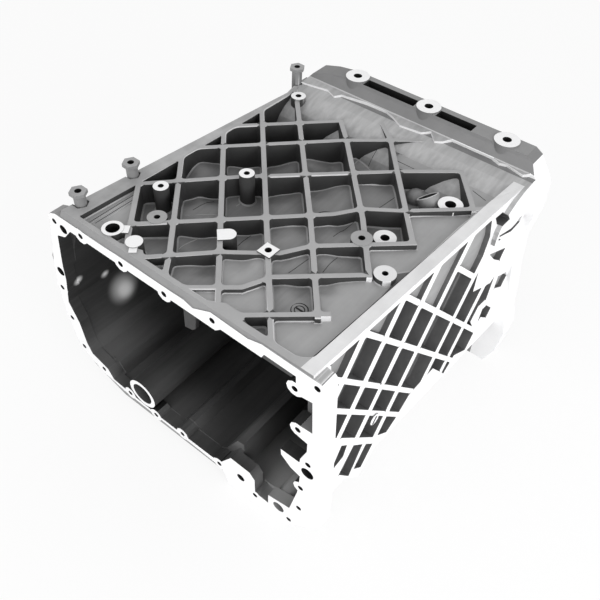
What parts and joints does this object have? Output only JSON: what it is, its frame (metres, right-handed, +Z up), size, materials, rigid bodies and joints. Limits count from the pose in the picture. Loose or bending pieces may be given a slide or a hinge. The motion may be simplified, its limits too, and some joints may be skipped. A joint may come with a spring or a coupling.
{
  "type": "gearbox housing",
  "caption": "Cast gearbox housing, open at the front, with a bolted front flange, a rib lattice on top and side, threaded bosses and a rear flange with shaft bores.",
  "frame": {"origin": "middle of the outline, at the height of the feet it stands on", "axes": "+Z up out of the ribbed deck, -Y out of the open front, +X to the ribbed side wall"},
  "size_m": [0.531, 0.4995, 0.412],
  "materials": {
    "cast_aluminium": "as cast, with machined faces"
  },
  "bodies": {
    "root": {"housing": "cast_aluminium"}
  },
  "joints": []
}
